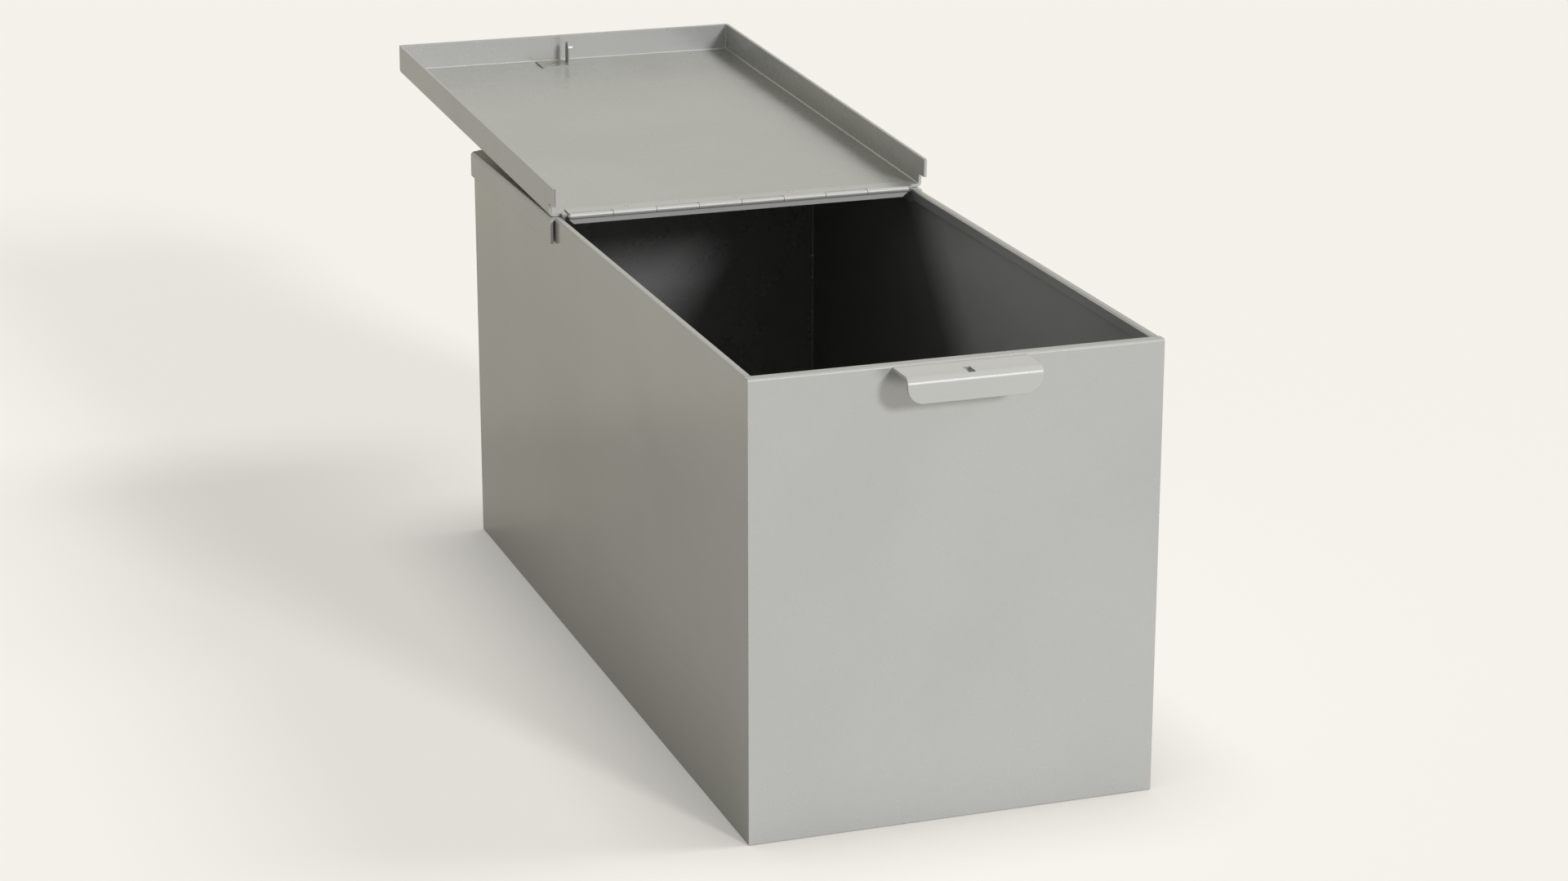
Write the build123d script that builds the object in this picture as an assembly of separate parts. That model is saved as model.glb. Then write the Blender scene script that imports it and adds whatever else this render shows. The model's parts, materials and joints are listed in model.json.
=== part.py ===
from build123d import *
import os

# A safe deposit box: a long sheet-steel tin with a fixed cover over its rear third, and a
# lid that is hinged to that cover and lies back on it when the box is open.
# Millimetres. X runs to the right, Y from the front to the rear, Z up. The origin is the
# centre of the underside. The lid is modelled open, as it rests.

# ---- the case ----
case_width = 254.0
case_depth = 600.0
case_height = 280.5
case_sheet = 1.2            # walls and bottom
case_bend = 0.3             # inside radius of a fold in the case's sheet
side_rim_width = 5.0        # inward fold along the top of each side
front_rim_width = 7.9
rim_lip = 7.2               # how far each rim turns down again, from the top
back_ledge = 10.0           # inward fold along the top of the back
bottom_flange = 12.0        # upturned edges of the bottom

# ---- the thicker sheet of the lid, the cover and the pull ----
plate = 2.0
plate_bend = 1.0            # inside radius of their folds

# ---- the fixed cover over the rear ----
cover_length = 207.7        # from the front ends of its side flanges to the back of the case
cover_flange = 17.3
cover_gap = 1.0             # between its side flanges and the case
cover_corner_relief = 3.0   # how far the rear corners are left open
rail_depth = 20.0           # angle under the cover's front edge
rail_leg = 8.0

# ---- the hinge ----
pin_radius = 1.0
leaf_sheet = 0.85
barrel_inset = 9.0          # from each side of the case to the end of the barrel
knuckle_count = 8
knuckle_gap = 0.3           # end play between two knuckles
pin_clearance = 0.05        # radial
barrel_clearance = 0.3      # around the barrel, to everything that doesn't belong to it
band_height = 4.5           # front fold of the cover and the leaf on it, below the rim
band_overhang = 0.85        # of the fixed leaf, beyond each end of the barrel
band_mitre_width = 4.0      # the leaf's ends are cut at 45 degrees
leaf_width = 12.0           # of the lid's leaf, from the axis
pin_overhang = 0.6

# ---- the lid ----
lid_flange = 21.2
lid_corner_radius = 2.5
lid_lift = 0.1              # the closed lid stands this far off the rims at the hinge
lid_flange_gap = 0.8        # closed, between the flanges of the lid and of the cover
lid_end_gap = 5.0           # closed, between its end flange and the finger pull
lid_notch_width = 8.0       # corner notches at the hinge end, measured from the outside
lid_notch_reach = 6.4       # beyond the axis
lid_notch_height = 9.0
open_slope = 1.96           # degrees: the open lid rises this much towards its free end

# ---- the finger pull ----
pull_width = 82.0
pull_reach = 24.5
pull_drop = 15.6
pull_sink = 0.9             # its plate lies this far below the rim
pull_bend = 3.0             # inside radius
pull_corner = 10.0

# ---- the latch ----
latch_x = -1.5              # its middle, slightly left of the centre line
latch_sheet = 1.0
latch_bend = 0.5
latch_foot_width = 23.0
latch_foot_length = 20.0
latch_foot_corner = 2.0
slot_from_lip = 7.5         # closed, from the outside of the pull's lip to the tab's middle
tab_width = 8.0
tab_height = 16.8
tab_tip_radius = 3.8
slot_side_clearance = 0.35
slot_end_clearance = 0.6
catch_pin_radius = 0.95
catch_pin_reach = 2.6       # beyond the tab
catch_pin_height = 13.0
catch_pin_inset = 0.6       # its axis behind the tab's edge

# ---- rivets ----
rivet_radius = 1.6
rivet_head_radius = 3.2
rivet_head_height = 1.0
rivet_head_dome = 0.8       # radius of the head's rounded edge
rivet_clearance = 0.05
cover_rivet_count = 3
cover_rivet_inset = 37.0    # from each side of the case to the outer rivets
latch_rivet_count = 2
latch_rivet_inset = 5.0     # from each end of the foot

# ---- places worked out from the sizes above ----
half_width = case_width / 2
front = -case_depth / 2
back = case_depth / 2
rim_top = case_height
plate_fold = plate_bend + plate
case_fold = case_bend + case_sheet
seat_top = rim_top - plate                       # the walls stop here under the cover
cover_front = back - cover_length
barrel_radius = pin_radius + pin_clearance + leaf_sheet
band_front = cover_front - lid_flange_gap        # closed, the lid's flanges end here
flange_overhang = barrel_radius + barrel_clearance + lid_flange_gap
axis_y = band_front - flange_overhang
axis_z = rim_top + plate / 2 + lid_lift
axis = Axis((0, axis_y, axis_z), (1, 0, 0))
leaf_back = axis_y + barrel_radius               # back of the fixed leaf, front of the cover
side_outside = half_width + cover_gap + plate    # of the cover and of the lid
barrel_length = case_width - 2 * barrel_inset
knuckle_pitch = barrel_length / knuckle_count
band_top_half = barrel_length / 2 + band_overhang
band_base_half = band_top_half - band_mitre_width
pull_top = rim_top - pull_sink                   # leaves room for the latch's foot
lip_face = front - pull_reach
slot_y = lip_face + slot_from_lip
latch_from_axis = axis_y - slot_y
lid_length = axis_y - (lip_face - lid_end_gap - plate)   # to the outside of its end flange
cover_rivet_spacing = (case_width - 2 * cover_rivet_inset) / (cover_rivet_count - 1)
latch_rivet_spacing = (latch_foot_length - 2 * latch_rivet_inset) / (latch_rivet_count - 1)
slot_width = latch_sheet + catch_pin_reach + 2 * slot_side_clearance
slot_length = tab_width + 2 * slot_end_clearance
tab_left = latch_x - (latch_sheet + catch_pin_reach) / 2
tab_right = tab_left + latch_sheet


def block(x0, x1, y0, y1, z0, z1):
    """A rectangular block between two corners."""
    return Pos((x0 + x1) / 2, (y0 + y1) / 2, (z0 + z1) / 2) * Box(x1 - x0, y1 - y0, z1 - z0)


def round_bar(plane_origin, direction, radius, length):
    """A round bar that starts at a point and runs along a direction."""
    return extrude(Plane(plane_origin, z_dir=direction) * Circle(radius), length)


def folded_section(points, sheet, inside_radius, side):
    """Section of a folded sheet: the points run along its outer face."""
    outer_face = FilletPolyline(*points, radius=inside_radius + sheet)
    return make_face(offset(outer_face, amount=sheet, side=side, closed=True).edges())


def fold_along_y(points, sheet, inside_radius, side, y0, y1):
    """A sheet folded about lines along Y. Its section's points are (x, z)."""
    section = folded_section(points, sheet, inside_radius, side)
    return extrude(Plane.XZ.offset(-y0) * section, -(y1 - y0))


def fold_along_x(points, sheet, inside_radius, side, x0, x1):
    """A sheet folded about lines along X. Its section's points are (y, z)."""
    section = folded_section(points, sheet, inside_radius, side)
    return extrude(Plane.YZ.offset(x0) * section, x1 - x0)


def one_solid(shape):
    """The single solid that a shape consists of."""
    return shape.solids()[0]


# ---------------------------------------------------------------- the case

def front_panel():
    """Front wall, with its rim folded inwards and down."""
    points = [(front, 0), (front, rim_top), (front + front_rim_width, rim_top),
              (front + front_rim_width, rim_top - rim_lip)]
    panel = fold_along_x(points, case_sheet, case_bend, Side.RIGHT, -half_width, half_width)
    inner = half_width - case_sheet
    for side in (-1, 1):
        panel -= block(*sorted((side * inner, side * half_width)), front + case_sheet,
                       front + front_rim_width, 0, rim_top - case_sheet)
    return one_solid(panel)


def left_side_panel():
    """Left wall: its rim is a plate lower under the cover, which lies flush in the step."""
    wall_front = front + case_sheet
    wall_back = back - case_sheet

    def wall(top, y0, y1):
        rim_edge = -half_width + side_rim_width
        points = [(-half_width, 0), (-half_width, top), (rim_edge, top),
                  (rim_edge, top - rim_lip)]
        return fold_along_y(points, case_sheet, case_bend, Side.RIGHT, y0, y1)

    panel = wall(rim_top, wall_front, cover_front) + wall(seat_top, cover_front, wall_back)
    inner = -half_width + case_sheet
    edge = -half_width + side_rim_width
    panel -= block(inner, edge, wall_front, front + front_rim_width, rim_top / 2, rim_top)
    panel -= block(-half_width, edge, wall_front, front + front_rim_width,
                   rim_top - case_sheet, rim_top)
    panel -= block(inner, edge, wall_back - back_ledge, wall_back, rim_top / 2, rim_top)
    return one_solid(panel)


def right_side_panel():
    """Right wall, the left one's mirror image."""
    return one_solid(mirror(left_side_panel(), about=Plane.YZ))


def back_panel():
    """Back wall, with a ledge under the cover."""
    points = [(back, 0), (back, seat_top), (back - back_ledge, seat_top)]
    panel = fold_along_x(points, case_sheet, case_bend, Side.LEFT, -half_width, half_width)
    inner = half_width - case_sheet
    for side in (-1, 1):
        panel -= block(*sorted((side * inner, side * half_width)), back - back_ledge,
                       back - case_sheet, 0, rim_top)
    for x in cover_rivet_places():
        panel -= cover_rivet_bar(x, rivet_radius + rivet_clearance)
    return one_solid(panel)


def bottom_panel():
    """Bottom of the case: a shallow pan between the walls, with open corners."""
    x1 = half_width - case_sheet
    y1 = case_depth / 2 - case_sheet
    relief = case_fold + case_sheet
    across = [(-x1, bottom_flange), (-x1, 0), (x1, 0), (x1, bottom_flange)]
    along = [(-y1, bottom_flange), (-y1, 0), (y1, 0), (y1, bottom_flange)]
    pan = fold_along_y(across, case_sheet, case_bend, Side.LEFT, relief - y1, y1 - relief)
    pan += fold_along_x(along, case_sheet, case_bend, Side.LEFT, relief - x1, x1 - relief)
    return one_solid(pan)


# ---------------------------------------------------------------- the fixed cover

def cover_rivet_places():
    """X of each rivet in the cover's rear flange."""
    middle = (cover_rivet_count - 1) / 2
    return [(i - middle) * cover_rivet_spacing for i in range(cover_rivet_count)]


def cover_rivet_bar(x, radius):
    """Shank of a cover rivet, through the rear flange and the back wall."""
    z = rim_top - cover_flange / 2 - plate_fold / 2
    return round_bar((x, back - case_sheet, z), (0, 1, 0), radius, case_sheet + plate)


def rear_cover():
    """Cap over the rear of the case: side flanges, a rear flange and a low front fold."""
    bottom = rim_top - cover_flange
    rear = back + plate
    middle = (cover_front + back) / 2
    across = [(-side_outside, bottom), (-side_outside, rim_top), (side_outside, rim_top),
              (side_outside, bottom)]
    front_fold = [(leaf_back, rim_top - band_height), (leaf_back, rim_top), (middle, rim_top)]
    rear_fold = [(middle, rim_top), (rear, rim_top), (rear, bottom)]
    rear_half = half_width - cover_corner_relief
    cover = fold_along_y(across, plate, plate_bend, Side.RIGHT, cover_front,
                         back - cover_corner_relief)
    cover += fold_along_x(front_fold, plate, plate_bend, Side.RIGHT, -band_base_half,
                          band_base_half)
    cover += fold_along_x(rear_fold, plate, plate_bend, Side.RIGHT, -rear_half, rear_half)
    for x in cover_rivet_places():
        cover -= cover_rivet_bar(x, rivet_radius + rivet_clearance)
    return one_solid(cover)


def cover_rivets():
    """Rivets that hold the cover's rear flange to the back wall."""
    rivets = []
    for x in cover_rivet_places():
        shank = cover_rivet_bar(x, rivet_radius)
        z = shank.center().Z
        head = rivet_head((x, back + plate, z), (0, 1, 0))
        tail = rivet_head((x, back - case_sheet, z), (0, -1, 0))
        rivets.append(one_solid(shank + head + tail))
    return Compound(rivets)


def rivet_head(place, direction):
    """Low domed head on a face."""
    head = round_bar(place, direction, rivet_head_radius, rivet_head_height)
    rim = head.edges().group_by(lambda edge: (edge.center() - Vector(*place)).length)[-1]
    return fillet(rim, rivet_head_dome)


def cross_rail():
    """Angle welded under the cover, just behind its front fold."""
    y0 = leaf_back + plate_fold + case_sheet
    y1 = y0 + rail_depth
    half = half_width - side_rim_width - barrel_clearance
    points = [(y0, seat_top), (y1, seat_top), (y1, seat_top - rail_leg)]
    return one_solid(fold_along_x(points, plate, plate_bend, Side.RIGHT, -half, half))


# ---------------------------------------------------------------- the hinge

def knuckle_span(index):
    """Both ends of a knuckle along X."""
    start = -barrel_length / 2 + index * knuckle_pitch
    return start + knuckle_gap / 2, start + knuckle_pitch - knuckle_gap / 2


def knuckle(index):
    """One rolled knuckle, without its bore."""
    x0, x1 = knuckle_span(index)
    return round_bar((x0, axis_y, axis_z), (1, 0, 0), barrel_radius, x1 - x0)


def room_for_knuckle(index):
    """What a leaf leaves free for the other leaf's knuckle."""
    x0, x1 = knuckle_span(index)
    reach = barrel_radius + barrel_clearance
    return block(x0 - knuckle_gap, x1 + knuckle_gap, axis_y - reach, axis_y + reach,
                 axis_z - reach, axis_z + reach)


def bore():
    """The hole for the pin, through all knuckles."""
    return round_bar((-barrel_length, axis_y, axis_z), (1, 0, 0), pin_radius + pin_clearance,
                     2 * barrel_length)


def fixed_hinge_leaf():
    """Leaf on the cover's front fold. It shows as a narrow band with mitred ends."""
    base = rim_top - band_height
    outline = Polyline((-band_base_half, base), (-band_top_half, base + band_mitre_width),
                       (-band_top_half, axis_z), (band_top_half, axis_z),
                       (band_top_half, base + band_mitre_width), (band_base_half, base), close=True)
    leaf = extrude(Plane.XZ.offset(-leaf_back) * make_face(outline), leaf_sheet)
    end_room = barrel_radius + barrel_clearance
    for side in (-1, 1):
        ends = sorted((side * barrel_length / 2, side * band_top_half))
        leaf -= block(*ends, axis_y, leaf_back, axis_z - end_room, axis_z)
    for index in range(knuckle_count):
        if index % 2 == 0:
            leaf += knuckle(index)
        else:
            leaf -= room_for_knuckle(index)
    return one_solid(leaf - bore())


def lid_hinge_leaf():
    """Leaf on the inside of the lid, modelled level and then tipped with the lid."""
    top = axis_z + barrel_radius
    half = barrel_length / 2
    leaf = block(-half, half, axis_y, axis_y + leaf_width, top - leaf_sheet, top)
    for index in range(knuckle_count):
        if index % 2 == 1:
            leaf += knuckle(index)
        else:
            leaf -= room_for_knuckle(index)
    return one_solid(tipped(leaf - bore()))


def hinge_pin():
    """Pin through the barrel, with slightly domed ends."""
    half = barrel_length / 2 + pin_overhang
    pin = round_bar((-half, axis_y, axis_z), (1, 0, 0), pin_radius, 2 * half)
    return one_solid(fillet(pin.edges().filter_by(GeomType.CIRCLE), pin_radius / 2))


# ---------------------------------------------------------------- the lid

def tipped(shape):
    """A lid piece, modelled level, at the slope of the open lid."""
    return shape.rotate(axis, open_slope)


def lid():
    """Shallow tray of a lid, open towards the hinge."""
    outside = axis_z - plate / 2
    tip = outside + lid_flange
    start = axis_y - flange_overhang
    end = axis_y + lid_length
    shell = block(-side_outside, side_outside, start, end, outside, tip)
    shell = round_edges(shell, end, outside, plate_fold, lid_corner_radius)
    inner = side_outside - plate
    hollow = block(-inner, inner, start - plate, end - plate, outside + plate, tip + plate)
    hollow = round_edges(hollow, end - plate, outside + plate, plate_bend,
                         lid_corner_radius - plate)
    tray = shell - hollow
    plate_start = axis_y + barrel_radius + barrel_clearance
    tray -= block(-inner, inner, start, plate_start, outside, tip)
    for side in (-1, 1):
        notch = sorted((side * (side_outside - lid_notch_width), side * side_outside))
        tray -= block(*notch, start, axis_y + lid_notch_reach, outside,
                      outside + lid_notch_height)
    for bar in latch_rivet_bars(rivet_radius + rivet_clearance):
        tray -= bar
    return one_solid(tipped(tray))


def round_edges(solid, end, floor, floor_radius, corner_radius):
    """Round a tray's two far corners and then its three long edges at the floor."""
    corners = [edge for edge in solid.edges().filter_by(Axis.Z)
               if abs(edge.center().Y - end) < corner_radius / 2]
    solid = fillet(corners, corner_radius)
    floor_face = solid.faces().sort_by(Axis.Z)[0]
    open_edge = floor_face.edges().sort_by(Axis.Y)[0]
    folds = [edge for edge in floor_face.edges() if edge != open_edge]
    return fillet(folds, floor_radius)


# ---------------------------------------------------------------- the latch and the pull

def lid_inside():
    """Height of the level lid's inner face."""
    return axis_z + plate / 2


def latch_rivet_bars(radius):
    """Shanks through the latch's foot and the lid."""
    x = tab_right - latch_foot_width / 2 - latch_sheet
    start = -(latch_rivet_count - 1) / 2
    length = plate + latch_sheet
    return [round_bar((x, axis_y + latch_from_axis + (start + i) * latch_rivet_spacing,
                       lid_inside() - plate), (0, 0, 1), radius, length)
            for i in range(latch_rivet_count)]


def latch_bracket():
    """Foot on the lid's inner face, with a tab that stands up at its right-hand edge."""
    floor = lid_inside()
    foot_left = tab_right - latch_foot_width
    middle = axis_y + latch_from_axis
    points = [(tab_right, floor + tab_height), (tab_right, floor), (foot_left, floor)]
    bracket = fold_along_y(points, latch_sheet, latch_bend, Side.RIGHT,
                           middle - tab_width / 2, middle + tab_width / 2)
    tip = [edge for edge in bracket.edges().filter_by(Axis.X)
           if edge.center().Z > floor + tab_height - latch_bend]
    bracket = fillet(tip, tab_tip_radius)
    foot_right = tab_right - latch_sheet - latch_bend
    foot = block(foot_left, foot_right, middle - latch_foot_length / 2,
                 middle + latch_foot_length / 2, floor, floor + latch_sheet)
    foot = fillet(foot.edges().filter_by(Axis.Z), latch_foot_corner)
    bracket += foot
    bracket -= catch_pin_bar(catch_pin_radius + pin_clearance)
    for bar in latch_rivet_bars(rivet_radius + rivet_clearance):
        bracket -= bar
    return one_solid(tipped(bracket))


def catch_pin_bar(radius):
    """Bar in the notch at the tab's hinge-side edge."""
    y = axis_y + latch_from_axis - tab_width / 2 + catch_pin_inset
    place = (tab_left, y, lid_inside() + catch_pin_height)
    return round_bar(place, (1, 0, 0), radius, latch_sheet + catch_pin_reach)


def catch_pin():
    """Cross pin of the latch: it catches under the pull's plate when the lid is shut."""
    return one_solid(tipped(catch_pin_bar(catch_pin_radius)))


def latch_rivets():
    """Rivets with flush inner ends and low heads on the lid's outer face."""
    rivets = []
    for bar in latch_rivet_bars(rivet_radius):
        centre = bar.center()
        head = rivet_head((centre.X, centre.Y, lid_inside() - plate), (0, 0, -1))
        rivets.append(one_solid(tipped(bar + head)))
    return Compound(rivets)


def finger_pull():
    """Bent plate on the front, just below the rim, with a slot for the latch's tab."""
    points = [(front, pull_top), (lip_face, pull_top), (lip_face, pull_top - pull_drop)]
    pull = fold_along_x(points, plate, pull_bend, Side.LEFT, -pull_width / 2, pull_width / 2)
    lip_corners = [edge for edge in pull.edges().filter_by(Axis.Y)
                   if edge.center().Z < pull_top - pull_drop + plate]
    pull = fillet(lip_corners, pull_corner)
    pull -= block(latch_x - slot_width / 2, latch_x + slot_width / 2, slot_y - slot_length / 2,
                  slot_y + slot_length / 2, pull_top - pull_drop / 2, pull_top)
    return one_solid(pull)


pieces = {
    "bottom_panel": bottom_panel,
    "front_panel": front_panel,
    "back_panel": back_panel,
    "left_side_panel": left_side_panel,
    "right_side_panel": right_side_panel,
    "rear_cover": rear_cover,
    "cover_rivets": cover_rivets,
    "cross_rail": cross_rail,
    "fixed_hinge_leaf": fixed_hinge_leaf,
    "lid_hinge_leaf": lid_hinge_leaf,
    "hinge_pin": hinge_pin,
    "lid": lid,
    "latch_bracket": latch_bracket,
    "catch_pin": catch_pin,
    "latch_rivets": latch_rivets,
    "finger_pull": finger_pull,
}

os.makedirs("parts", exist_ok=True)
for name, make in pieces.items():
    export_step(make(), f"parts/{name}.step")
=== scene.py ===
import json
import math

import bpy
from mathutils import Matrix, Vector


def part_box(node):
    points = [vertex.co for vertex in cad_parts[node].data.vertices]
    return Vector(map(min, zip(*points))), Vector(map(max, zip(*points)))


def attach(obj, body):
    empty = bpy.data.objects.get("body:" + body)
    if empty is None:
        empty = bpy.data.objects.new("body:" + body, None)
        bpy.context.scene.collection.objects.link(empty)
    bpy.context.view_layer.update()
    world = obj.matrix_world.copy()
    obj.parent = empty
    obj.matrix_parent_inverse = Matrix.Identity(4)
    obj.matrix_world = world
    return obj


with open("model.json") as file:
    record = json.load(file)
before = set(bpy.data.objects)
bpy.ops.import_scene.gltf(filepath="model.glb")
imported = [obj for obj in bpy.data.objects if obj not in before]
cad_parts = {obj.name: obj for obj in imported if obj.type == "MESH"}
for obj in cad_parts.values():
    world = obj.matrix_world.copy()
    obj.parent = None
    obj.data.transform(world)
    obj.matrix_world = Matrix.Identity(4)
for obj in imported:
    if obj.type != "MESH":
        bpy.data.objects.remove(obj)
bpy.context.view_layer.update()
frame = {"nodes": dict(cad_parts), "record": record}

# A safe deposit box of satin silver-grey sheet steel, with its lid open. Lengths are in metres,
# and angles in degrees.

# ---- the camera, at the photograph's viewing angle ----
camera_place = (-0.75059, -2.14733, 0.85920)
camera_turn = 19.236         # to the right of the box's depth
camera_tip = 17.479          # downwards
camera_roll = -0.03
camera_lens = 84.16          # millimetres, as is the sensor
camera_sensor = 36.0

# ---- the light ----
backdrop_colour = (0.866, 0.843, 0.790)
key_bearing = 19.0           # to the right of the front
key_height = 21.0            # above the floor
key_strength = 2.2
key_spread = 9.0
glint_strength = 0.16        # from the same place: the key lamp itself leaves no glint
glint_spread = 24.0
side_bearing = 85.0
side_height = 46.0
side_strength = 1.6
side_spread = 20.0
room_strength = 0.20
floor_size = 60.0
floor_centre = (0, 20, -0.0004)        # just below the box's underside
floor_colour = (0.43, 0.42, 0.39)
floor_roughness = 0.9
floor_glow = 0.63            # brightness of the unlit floor, as a share of the backdrop's
painted_foot_shade_reach = 0.09            # how far the painted shade round the box's foot goes
painted_foot_shade_depth = 0.85            # share of the glow that the painted shade takes away in a closed corner
foot_samples = 8

# ---- finishes ----
satin_colour = (0.523, 0.530, 0.525)
satin_metal = 0.50
satin_roughness = 0.27
side_roughness = 0.17        # the side walls, polished by sliding in and out
satin_gloss = 0.20
satin_edge_tint = (0.61, 0.60, 0.49)   # how bright the steel is seen almost edge on
pull_colour = (0.562, 0.568, 0.560)
pull_edge_tint = (0.95, 0.94, 0.88)
pull_metal = 0.50
pull_roughness = 0.16
hinge_colour = (0.57, 0.575, 0.565)
hinge_metal = 0.45
hinge_roughness = 0.22
pin_colour = (0.90, 0.90, 0.88)
pin_metal = 0.60
pin_roughness = 0.18
rivet_colour = (0.56, 0.555, 0.535)
rivet_metal = 0.6
rivet_roughness = 0.30
latch_colour = (0.45, 0.45, 0.435)
latch_metal = 0.55
latch_roughness = 0.20

# radius of the rounded edges
case_edge = 0.0005
lid_edge = 0.0009
pull_edge = 0.0005
hinge_edge = 0.0003
pin_edge = 0.0002
rivet_edge = 0.0004
latch_edge = 0.0004

# painted light and shade on the case's inner faces, as shares of its brightness: in the open
# part, and under the cover, where the cover's shadow is painted
end_painted_inside_shade = (0.50, 0.50)
side_painted_inside_light_and_shade = (1.50, 0.45)
painted_cover_shadow_lean = 0.9           # how far the painted shadow of the cover reaches forwards, per depth in the box
painted_cover_shadow_blend = 0.035        # half the length over which the painted light passes into the painted shadow

# features of each pattern per metre, across the box, along it and upwards, and its detail
cloud_scale = (7, 7, 7)
cloud_detail = 4.0
smudge_scale = (24, 17, 24)
smudge_detail = 5.0
grain_across = (8, 220, 220)
grain_along = (220, 8, 220)
grain_even = (220, 220, 220)
grain_detail = 2.0
pebble_scale = (300, 300, 300)
pebble_detail = 1.0
chip_scale = (260, 260, 260)
chip_detail = 3.0
buckle_scale = (6, 6, 6)
buckle_detail = 1.0

# the part of a pattern's range that is used, and what it becomes
middle_range = (0.3, 0.7)
cloud_tones = (0.965, 1.03)
grain_tones = (0.993, 1.007)
smudge_range = (0.42, 0.72)
smudge_roughness = (0.94, 1.22)
grain_roughness = (0.97, 1.03)
chip_range = (0.35, 0.65)
chip_edge_brightening = (0.15, 0.70)

# wear and painted highlight on the outer edges
worn_and_highlight_edge_colour = (0.66, 0.66, 0.64)
edge_turn_range = (0.995, 0.90)        # cosine of the rounding's turn: plain, fully brightened
fold_reach = 0.002                     # how far the inside of a fold stays without the brightened edge
fold_open_range = (0.75, 0.95)         # openness inside a fold, and on an outer edge
edge_samples = 4

# strength and height of the relief
buckle_relief = 0.08
buckle_height = 0.004
grain_relief = 0.03
grain_height = 0.0001
pebble_relief = 0.02
pebble_height = 0.0001

# ---- sizes of the small pieces, and of what carries them ----
plate = 0.002                # sheet of the lid, the cover and the pull
case_sheet = 0.0012
open_slope = 1.96            # the open lid rises this much towards its free end
leaf_rise = 0.0019           # from the hinge's axis to the outer face of the lid's leaf
smooth_below = 40.0          # a sharper edge stays sharp
quarter_turn = math.radians(90)        # in radians, as Blender takes it
bead_sides = 16
bead_ripple = 1.14           # how much thicker a weld bead is at its ripples
bead_taper = (0.35, 0.75)    # share of its thickness at its end, and one ring further in
corner_bead_radius = 0.0013
corner_bead_pitch = 0.0026
corner_bead_front_gap = 0.0085         # from the top of the front panel
corner_bead_rear_gap = 0.003           # from the top of the back panel
pull_bead_radius = 0.0019
pull_bead_length = 0.017
pull_bead_pitch = 0.0014
pull_bead_places = (-0.031, 0.0, 0.031)
spot_sides = 20
spot_radius = 0.0024         # a spot weld's ring
spot_rise = 0.00018
spot_top = 0.86              # share of the radius at the top of the ring
spot_steps = ((0.16, 0.0), (0.22, -0.6), (0.25, -0.2))   # inwards per radius, up per rise
flange_spot_height = 0.0072
flange_spot_pitch = 0.065
flange_spot_margin = 0.02
leaf_spot_reach = 0.0085     # from the hinge's axis
leaf_spot_pitch = 0.038
leaf_spot_margin = 0.01


# ---------------------------------------------------------------- nodes of a finish

def node(tree, kind, place, **inputs):
    """A shader node with some of its inputs set."""
    made = tree.nodes.new(kind)
    made.location = place
    for name, value in inputs.items():
        made.inputs[name.replace("_", " ")].default_value = value
    return made


def wire(tree, *chain):
    """Links pairs of sockets: out, in, out, in and so on."""
    for out, into in zip(chain[::2], chain[1::2]):
        tree.links.new(out, into)


def figure(tree, operation, place, *values):
    """Result of a Math node. Each value is a number or another node's socket."""
    made = node(tree, "ShaderNodeMath", place)
    made.operation = operation
    for entry, value in zip(made.inputs, values):
        if isinstance(value, bpy.types.NodeSocket):
            tree.links.new(value, entry)
        else:
            entry.default_value = value
    return made.outputs[0]


def span(tree, value, place, taken, given):
    """Carries a value from one range over to another, and stops at its ends."""
    made = node(tree, "ShaderNodeMapRange", place, From_Min=taken[0], From_Max=taken[1],
                To_Min=given[0], To_Max=given[1])
    tree.links.new(value, made.inputs["Value"])
    return made.outputs["Result"]


def mottle(tree, where, place, scale, detail):
    """Noise over the object's coordinates, with so many features per metre along each axis."""
    mapping = node(tree, "ShaderNodeMapping", place, Scale=scale)
    noise = node(tree, "ShaderNodeTexNoise", (place[0] + 200, place[1]), Scale=1.0,
                 Detail=detail)
    wire(tree, where, mapping.inputs["Vector"], mapping.outputs["Vector"],
         noise.inputs["Vector"])
    return noise.outputs["Fac"]


def painted_inside_light_and_shade(tree, where, open_share, covered_share):
    """Painted light and shade on the inner faces of the case, in the open part and as a painted
    shadow under the cover.
    """
    low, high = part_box("front_panel")
    half_width = high.x - case_sheet / 2
    half_depth = -low.y - case_sheet / 2
    top = high.z - case_sheet / 2
    parts = node(tree, "ShaderNodeSeparateXYZ", (-1500, -900))
    tree.links.new(where, parts.inputs[0])
    across = figure(tree, "ABSOLUTE", (-1300, -800), parts.outputs["X"])
    along = figure(tree, "ABSOLUTE", (-1300, -950), parts.outputs["Y"])
    within_width = figure(tree, "LESS_THAN", (-1100, -800), across, half_width)
    within_depth = figure(tree, "LESS_THAN", (-1100, -950), along, half_depth)
    below_rims = figure(tree, "LESS_THAN", (-1100, -1100), parts.outputs["Z"], top)
    between_walls = figure(tree, "MULTIPLY", (-900, -850), within_width, within_depth)
    mask = figure(tree, "MULTIPLY", (-700, -900), between_walls, below_rims)
    lean = figure(tree, "MULTIPLY_ADD", (-900, -1100), parts.outputs["Z"], -painted_cover_shadow_lean,
                  top * painted_cover_shadow_lean)
    depth = figure(tree, "ADD", (-700, -1100), parts.outputs["Y"], lean)
    cover_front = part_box("rear_cover")[0].y
    share = span(tree, depth, (-500, -1100),
                 (cover_front - painted_cover_shadow_blend, cover_front + painted_cover_shadow_blend),
                 (open_share, covered_share))
    change = figure(tree, "SUBTRACT", (-300, -1000), share, 1.0)
    return figure(tree, "MULTIPLY_ADD", (-300, -900), mask, change, 1.0)


# ---------------------------------------------------------------- finishes

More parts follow.
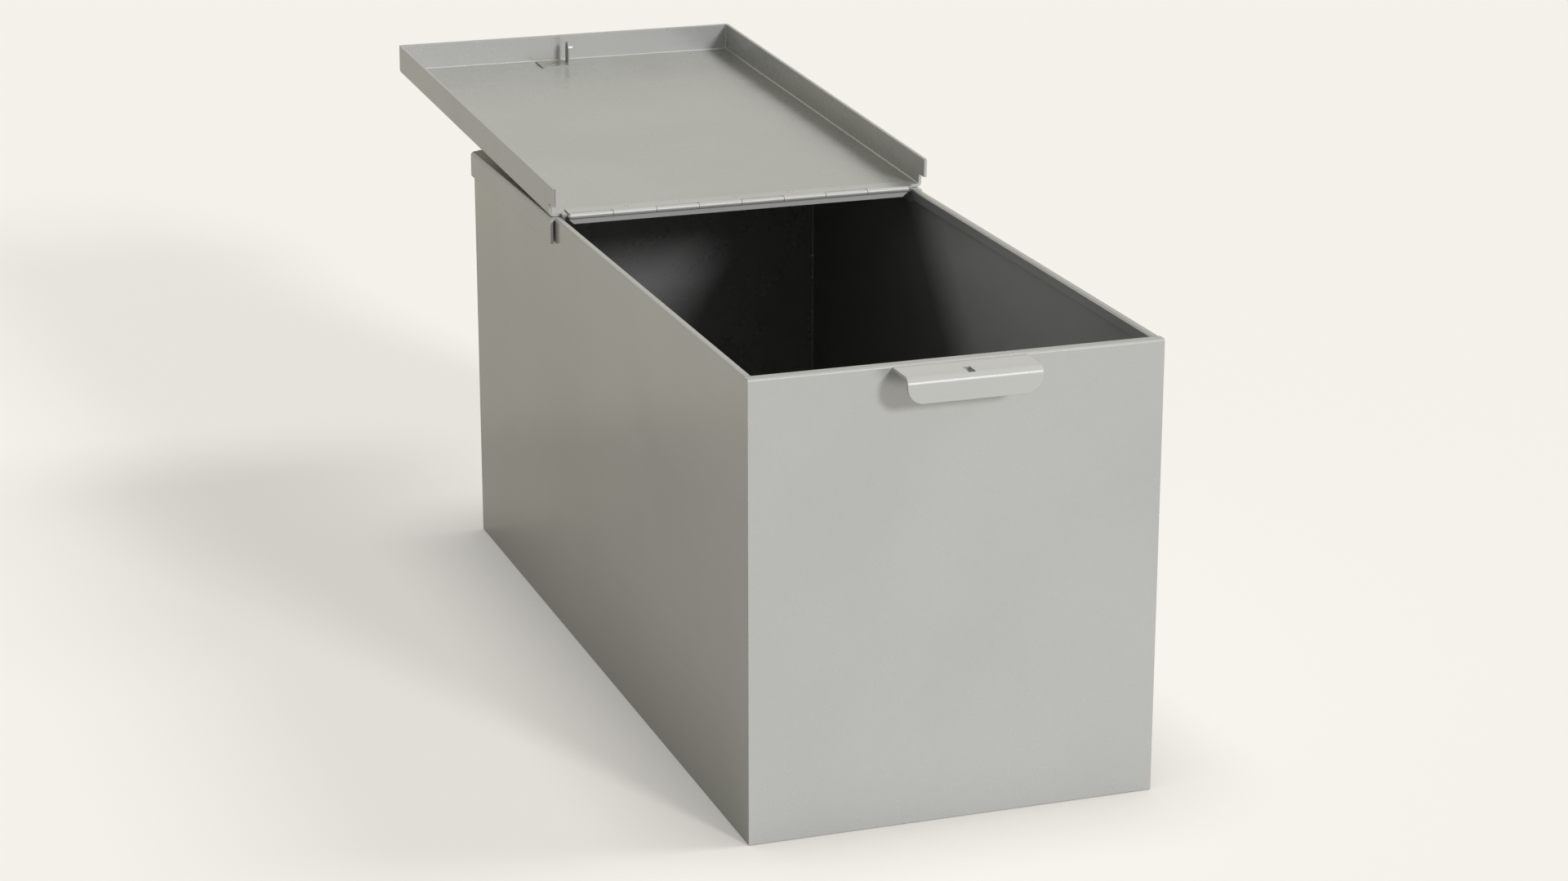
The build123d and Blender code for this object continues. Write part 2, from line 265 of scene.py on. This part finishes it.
def satin_steel(name, colour, metal, roughness, grain, edge, edge_tint=satin_edge_tint,
                inside=None):
    """Satin steel: rolled grain, faint clouds, smudges from hands, and edges brightened, partly
    as wear and partly as a painted highlight.
    """
    material = bpy.data.materials.new(name)
    material.use_nodes = True
    tree = material.node_tree
    skin = tree.nodes["Principled BSDF"]
    where = node(tree, "ShaderNodeTexCoord", (-1900, 0)).outputs["Object"]
    clouds = mottle(tree, where, (-1600, 400), cloud_scale, cloud_detail)
    smudges = mottle(tree, where, (-1600, 200), smudge_scale, smudge_detail)
    rolling = mottle(tree, where, (-1600, 0), grain, grain_detail)
    pebble = mottle(tree, where, (-1600, -200), pebble_scale, pebble_detail)
    chips = mottle(tree, where, (-1600, -400), chip_scale, chip_detail)
    buckle = mottle(tree, where, (-1600, -600), buckle_scale, buckle_detail)

    # the steel's own tone
    cloudy = span(tree, clouds, (-1100, 400), middle_range, cloud_tones)
    grained = span(tree, rolling, (-1100, 250), middle_range, grain_tones)
    tone = figure(tree, "MULTIPLY", (-900, 350), cloudy, grained)
    # painted light and shade on the case's inner faces, where shares are given
    if inside:
        share = painted_inside_light_and_shade(tree, where, *inside)
        tone = figure(tree, "MULTIPLY", (-700, 350), tone, share)
    toned = node(tree, "ShaderNodeVectorMath", (-500, 350))
    toned.operation = "SCALE"
    toned.inputs[0].default_value = colour
    tree.links.new(tone, toned.inputs["Scale"])

    # outer edges brightened, partly wear from handling and partly a painted highlight, but not
    # the inside of a fold
    rounded = node(tree, "ShaderNodeBevel", (-1600, -800), Radius=edge)
    rounded.samples = edge_samples
    face = node(tree, "ShaderNodeNewGeometry", (-1600, -950))
    turn = node(tree, "ShaderNodeVectorMath", (-1400, -850))
    turn.operation = "DOT_PRODUCT"
    wire(tree, rounded.outputs["Normal"], turn.inputs[0], face.outputs["Normal"],
         turn.inputs[1])
    near_edge = span(tree, turn.outputs["Value"], (-1100, -600), edge_turn_range, (0.0, 1.0))
    edge_chip_share = span(tree, chips, (-1100, -450), chip_range, chip_edge_brightening)
    wear_and_highlight = figure(tree, "MULTIPLY", (-950, -500), near_edge, edge_chip_share)
    fold = node(tree, "ShaderNodeAmbientOcclusion", (-1300, -700), Distance=fold_reach)
    fold.samples = edge_samples
    raised = span(tree, fold.outputs["AO"], (-1100, -750), fold_open_range, (0.0, 1.0))
    wear_and_highlight = figure(tree, "MULTIPLY", (-800, -500), wear_and_highlight, raised)
    shade = node(tree, "ShaderNodeMix", (-250, 250))
    shade.data_type = "RGBA"
    shade.inputs["B"].default_value = (*worn_and_highlight_edge_colour, 1)
    wire(tree, wear_and_highlight, shade.inputs["Factor"], toned.outputs[0], shade.inputs["A"],
         shade.outputs["Result"], skin.inputs["Base Color"])

    # how rough it is
    handled = span(tree, smudges, (-1100, 100), smudge_range, smudge_roughness)
    streaked = span(tree, rolling, (-1100, -50), middle_range, grain_roughness)
    rough = figure(tree, "MULTIPLY", (-900, 50), handled, streaked)
    rough = figure(tree, "MULTIPLY", (-700, 50), rough, roughness)
    wire(tree, rough, skin.inputs["Roughness"])

    # its relief: a slightly buckled sheet, the grain and a fine pebble, over rounded edges
    soft = node(tree, "ShaderNodeMix", (-900, -250))
    soft.data_type = "VECTOR"
    flat_normal, round_normal, soft_normal = soft.inputs[4], soft.inputs[5], soft.outputs[1]
    wire(tree, raised, soft.inputs["Factor"], face.outputs["Normal"], flat_normal,
         rounded.outputs["Normal"], round_normal)
    waves = node(tree, "ShaderNodeBump", (-700, -200), Strength=buckle_relief,
                 Distance=buckle_height)
    lines = node(tree, "ShaderNodeBump", (-500, -200), Strength=grain_relief,
                 Distance=grain_height)
    grit = node(tree, "ShaderNodeBump", (-300, -200), Strength=pebble_relief,
                Distance=pebble_height)
    wire(tree, buckle, waves.inputs["Height"], soft_normal, waves.inputs["Normal"],
         rolling, lines.inputs["Height"], waves.outputs["Normal"], lines.inputs["Normal"],
         pebble, grit.inputs["Height"], lines.outputs["Normal"], grit.inputs["Normal"],
         grit.outputs["Normal"], skin.inputs["Normal"])

    skin.inputs["Metallic"].default_value = metal
    skin.inputs["Specular IOR Level"].default_value = satin_gloss
    skin.inputs["Specular Tint"].default_value = (*edge_tint, 1)
    return material


def dress(material, *names):
    """Gives CAD nodes a finish."""
    for name in names:
        for slot in frame["nodes"][name].material_slots:
            slot.material = material


# ---------------------------------------------------------------- weld beads

def pick(mesh_object, wanted):
    """Selects, in edit mode, the vertices whose place passes a test, and nothing else."""
    bpy.ops.mesh.select_all(action="DESELECT")
    bpy.ops.object.mode_set(mode="OBJECT")
    for vertex in mesh_object.data.vertices:
        vertex.select = wanted(vertex.co)
    bpy.ops.object.mode_set(mode="EDIT")


def bead(name, radius, length, pitch):
    """A rippled round bead of weld along Z, tapered at both ends, centred on the origin."""
    bpy.ops.mesh.primitive_cylinder_add(vertices=bead_sides, radius=radius, depth=length)
    made = bpy.context.object
    made.name = name
    bpy.ops.object.mode_set(mode="EDIT")
    bpy.ops.mesh.select_mode(type="EDGE")
    bpy.ops.mesh.select_all(action="DESELECT")
    bpy.ops.object.mode_set(mode="OBJECT")
    corners = made.data.vertices
    for edge in made.data.edges:
        one_end, other_end = (corners[i].co for i in edge.vertices)
        edge.select = abs(one_end.z - other_end.z) > length / 2
    bpy.ops.object.mode_set(mode="EDIT")
    rings = 2 * int(length / pitch)
    bpy.ops.mesh.subdivide(number_cuts=rings - 1)
    bpy.ops.mesh.select_mode(type="VERT")
    step = length / rings
    pick(made, lambda at: round((at.z + length / 2) / step) % 2 == 1)
    bpy.ops.transform.resize(value=(bead_ripple, bead_ripple, 1), center_override=(0, 0, 0))
    for ring, share in enumerate(bead_taper):
        ring_z = length / 2 - ring * step
        pick(made, lambda at: abs(abs(at.z) - ring_z) < step / 3)
        bpy.ops.transform.resize(value=(share, share, 1), center_override=(0, 0, 0))
    bpy.ops.object.mode_set(mode="OBJECT")
    return made


def select_only(piece):
    """Selects a piece and nothing else, and makes it the active one."""
    bpy.ops.object.select_all(action="DESELECT")
    piece.select_set(True)
    bpy.context.view_layer.objects.active = piece


def settle(piece, turn, place):
    """Turns and places a piece in its own mesh, so that its object stays at the origin."""
    piece.rotation_euler = turn
    piece.location = place
    select_only(piece)
    bpy.ops.object.transform_apply(location=True, rotation=True, scale=True)


def trim(piece, at, outwards):
    """Cuts a piece off flush with a plane and closes the cut."""
    bpy.ops.object.mode_set(mode="EDIT")
    bpy.ops.mesh.select_all(action="SELECT")
    bpy.ops.mesh.bisect(plane_co=at, plane_no=outwards, use_fill=True, clear_outer=True)
    bpy.ops.mesh.select_all(action="SELECT")
    bpy.ops.mesh.normals_make_consistent(inside=False)
    bpy.ops.object.mode_set(mode="OBJECT")


def finish_piece(piece, body, material):
    """Smooths a piece, gives it its finish and lets it ride on its body."""
    select_only(piece)
    bpy.ops.object.shade_smooth_by_angle(angle=math.radians(smooth_below))
    piece.data.materials.clear()
    piece.data.materials.append(material)
    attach(piece, body)


def corner_beads(material):
    """Seam welds in the four upright corners inside the case."""
    front_low, front_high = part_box("front_panel")
    back_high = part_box("back_panel")[1]
    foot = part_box("bottom_panel")[1].z
    inner_x = front_high.x - case_sheet
    ends = {"front": (front_low.y + case_sheet, front_high.z - corner_bead_front_gap),
            "rear": (back_high.y - case_sheet, back_high.z - corner_bead_rear_gap)}
    for side, x in (("left", -inner_x), ("right", inner_x)):
        for end, (y, top) in ends.items():
            made = bead(f"corner_weld_{end}_{side}", corner_bead_radius, top - foot,
                        corner_bead_pitch)
            settle(made, (0, 0, 0), (x, y, (top + foot) / 2))
            trim(made, (x, y, 0), (math.copysign(1, x), 0, 0))
            trim(made, (x, y, 0), (0, math.copysign(1, y), 0))
            finish_piece(made, "case", material)


def pull_beads(material):
    """Short fillet welds in the corner between the front and the underside of the pull."""
    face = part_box("front_panel")[0].y
    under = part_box("finger_pull")[1].z - plate
    for count, x in enumerate(pull_bead_places, start=1):
        made = bead(f"pull_weld_{count}", pull_bead_radius, pull_bead_length, pull_bead_pitch)
        settle(made, (0, quarter_turn, 0), (x, face, under))
        trim(made, (x, face, under), (0, 1, 0))
        trim(made, (x, face, under), (0, 0, 1))
        finish_piece(made, "case", material)


# ---------------------------------------------------------------- spot welds

def spot_weld():
    """One spot weld on the origin, facing +Z: a low ring with a sunk, dished middle."""
    bpy.ops.mesh.primitive_circle_add(vertices=spot_sides, radius=spot_radius,
                                      fill_type="NGON")
    made = bpy.context.object
    bpy.ops.object.mode_set(mode="EDIT")
    bpy.ops.mesh.select_mode(type="FACE")
    bpy.ops.mesh.select_all(action="SELECT")
    bpy.ops.mesh.extrude_region_move(TRANSFORM_OT_translate={"value": (0, 0, spot_rise)})
    bpy.ops.transform.resize(value=(spot_top, spot_top, 1), center_override=(0, 0, 0))
    for inwards, upwards in spot_steps:
        bpy.ops.mesh.inset(thickness=inwards * spot_radius, depth=upwards * spot_rise)
    bpy.ops.mesh.select_all(action="SELECT")
    bpy.ops.mesh.normals_make_consistent(inside=False)
    bpy.ops.object.mode_set(mode="OBJECT")
    return made


def spread_spots(pattern, name, turn, places, body, material):
    """Copies of a spot weld, each with its own mesh."""
    for count, place in enumerate(places, start=1):
        made = pattern.copy()
        made.data = pattern.data.copy()
        made.name = f"{name}_{count}"
        bpy.context.scene.collection.objects.link(made)
        settle(made, turn, place)
        finish_piece(made, body, material)


def evenly(half_length, pitch):
    """Places with an even pitch, centred on nought, within a half length."""
    reach = int(half_length / pitch)
    return [i * pitch for i in range(-reach, reach + 1)]


def flange_spots(pattern, material):
    """Spot welds on the bottom's upturned edges, inside the case."""
    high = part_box("bottom_panel")[1]
    side_x, end_y = high.x - case_sheet, high.y - case_sheet
    along = evenly(end_y - flange_spot_margin, flange_spot_pitch)
    across = evenly(side_x - flange_spot_margin, flange_spot_pitch)
    rows = (("left", (0, quarter_turn, 0), [(-side_x, y) for y in along]),
            ("right", (0, -quarter_turn, 0), [(side_x, y) for y in along]),
            ("front", (-quarter_turn, 0, 0), [(x, -end_y) for x in across]),
            ("rear", (quarter_turn, 0, 0), [(x, end_y) for x in across]))
    for wall, turn, row in rows:
        places = [(x, y, flange_spot_height) for x, y in row]
        spread_spots(pattern, f"{wall}_flange_spot", turn, places, "case",
                     material)


def leaf_spots(pattern, material):
    """Spot welds on the lid's hinge leaf, on the slope of the open lid."""
    slope = math.radians(open_slope)
    axis_y, axis_z = frame["record"]["behaviour"]["joints"][0]["pos_m"][1:]
    y = axis_y + leaf_spot_reach * math.cos(slope) - leaf_rise * math.sin(slope)
    z = axis_z + leaf_spot_reach * math.sin(slope) + leaf_rise * math.cos(slope)
    half_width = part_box("lid_hinge_leaf")[1].x
    places = [(x, y, z) for x in evenly(half_width - leaf_spot_margin, leaf_spot_pitch)]
    spread_spots(pattern, "leaf_spot", (slope, 0, 0), places, "lid", material)


# ---------------------------------------------------------------- stage

def camera():
    """The camera of the photograph."""
    data = bpy.data.cameras.new("camera")
    data.lens = camera_lens
    data.sensor_width = camera_sensor
    view = bpy.data.objects.new("camera", data)
    bpy.context.scene.collection.objects.link(view)
    view.location = camera_place
    view.rotation_euler = (math.radians(90 - camera_tip), math.radians(camera_roll),
                           math.radians(-camera_turn))
    bpy.context.scene.camera = view


def lamp(name, bearing, height, strength, spread, glints=True):
    """A soft lamp far away, at a bearing to the right of the front and a height above it."""
    data = bpy.data.lights.new(name, "SUN")
    data.energy = strength
    data.angle = math.radians(spread)
    light = bpy.data.objects.new(name, data)
    bpy.context.scene.collection.objects.link(light)
    light.visible_glossy = glints
    turn, lift = math.radians(bearing), math.radians(height)
    towards = Vector((math.sin(turn) * math.cos(lift), -math.cos(turn) * math.cos(lift),
                      math.sin(lift)))
    light.rotation_euler = towards.to_track_quat("Z", "Y").to_euler()


def seen_directly(tree):
    """One where a camera, glossy or transmission ray meets a surface, and else nought."""
    path = node(tree, "ShaderNodeLightPath", (-900, 300))
    either = figure(tree, "MAXIMUM", (-700, 300), path.outputs["Is Camera Ray"],
                    path.outputs["Is Glossy Ray"])
    return figure(tree, "MAXIMUM", (-500, 300), either, path.outputs["Is Transmission Ray"])


def room():
    """Pale room all round. It lights softly, and shows as a pale backdrop."""
    world = bpy.data.worlds.new("room")
    bpy.context.scene.world = world
    world.use_nodes = True
    tree = world.node_tree
    tree.nodes.clear()
    light = node(tree, "ShaderNodeBackground", (-200, 0), Color=(1, 1, 1, 1),
                 Strength=room_strength)
    backdrop = node(tree, "ShaderNodeBackground", (-200, -200), Color=(*backdrop_colour, 1),
                    Strength=1.0)
    mix = node(tree, "ShaderNodeMixShader", (100, 0))
    out = node(tree, "ShaderNodeOutputWorld", (300, 0))
    wire(tree, seen_directly(tree), mix.inputs[0], light.outputs[0], mix.inputs[1],
         backdrop.outputs[0], mix.inputs[2], mix.outputs[0], out.inputs[0])


def floor():
    """Wide pale floor that the box stands on. Where it is seen, it shows as the backdrop, with
    a painted shade round the box's foot.
    """
    bpy.ops.mesh.primitive_plane_add(size=floor_size, location=floor_centre)
    ground = bpy.context.object
    ground.name = "floor"
    material = bpy.data.materials.new("floor")
    material.use_nodes = True
    tree = material.node_tree
    skin = tree.nodes["Principled BSDF"]
    skin.inputs["Base Color"].default_value = (*floor_colour, 1)
    skin.inputs["Roughness"].default_value = floor_roughness
    skin.inputs["Specular IOR Level"].default_value = 0.0
    skin.inputs["Emission Color"].default_value = (*backdrop_colour, 1)
    # painted shade: where the floor is seen, its glow darkens near the box's foot
    painted_foot_shade = node(tree, "ShaderNodeAmbientOcclusion", (-700, 0), Distance=painted_foot_shade_reach)
    painted_foot_shade.samples = foot_samples
    open_share = span(tree, painted_foot_shade.outputs["AO"], (-500, 0), (0.0, 1.0),
                      (1 - painted_foot_shade_depth, 1.0))
    glow = figure(tree, "MULTIPLY", (-300, 300), seen_directly(tree), open_share)
    glow = figure(tree, "MULTIPLY", (-150, 300), glow, floor_glow)
    wire(tree, glow, skin.inputs["Emission Strength"])
    ground.data.materials.append(material)


# ---------------------------------------------------------------- the scene

bpy.ops.object.select_all(action="DESELECT")
bpy.context.scene.view_settings.view_transform = "Standard"
camera()
room()
lamp("key", key_bearing, key_height, key_strength, key_spread, glints=False)
lamp("glint", key_bearing, key_height, glint_strength, glint_spread)
lamp("side", side_bearing, side_height, side_strength, side_spread, glints=False)
floor()

# the case's and the side walls' finishes carry painted light and shade on their inner faces
case_finish = satin_steel("case_satin_steel_with_painted_inner_shade", satin_colour, satin_metal, satin_roughness,
                          grain_along, case_edge, inside=end_painted_inside_shade)
side_finish = satin_steel("side_satin_steel_with_painted_inner_light_and_shade", satin_colour, satin_metal, side_roughness,
                          grain_along, case_edge, inside=side_painted_inside_light_and_shade)
lid_finish = satin_steel("lid_satin_steel", satin_colour, satin_metal, satin_roughness,
                         grain_across, lid_edge)
pull_finish = satin_steel("pull_satin_steel", pull_colour, pull_metal, pull_roughness,
                          grain_across, pull_edge, edge_tint=pull_edge_tint)
hinge_finish = satin_steel("hinge_steel_finish", hinge_colour, hinge_metal, hinge_roughness,
                           grain_across, hinge_edge)
pin_finish = satin_steel("bright_pin_steel", pin_colour, pin_metal, pin_roughness,
                         grain_across, pin_edge)
rivet_finish = satin_steel("rivet_steel_finish", rivet_colour, rivet_metal, rivet_roughness,
                           grain_even, rivet_edge)
latch_finish = satin_steel("latch_steel_finish", latch_colour, latch_metal, latch_roughness,
                           grain_across, latch_edge)

dress(case_finish, "bottom_panel", "front_panel", "back_panel", "rear_cover", "cross_rail")
dress(side_finish, "left_side_panel", "right_side_panel")
dress(lid_finish, "lid")
dress(pull_finish, "finger_pull")
dress(hinge_finish, "fixed_hinge_leaf", "lid_hinge_leaf")
dress(pin_finish, "hinge_pin", "catch_pin")
dress(latch_finish, "latch_bracket")
dress(rivet_finish, "cover_rivets", "latch_rivets")

corner_beads(case_finish)
pull_beads(pull_finish)
spot = spot_weld()
flange_spots(spot, case_finish)
leaf_spots(spot, hinge_finish)
bpy.data.objects.remove(spot)
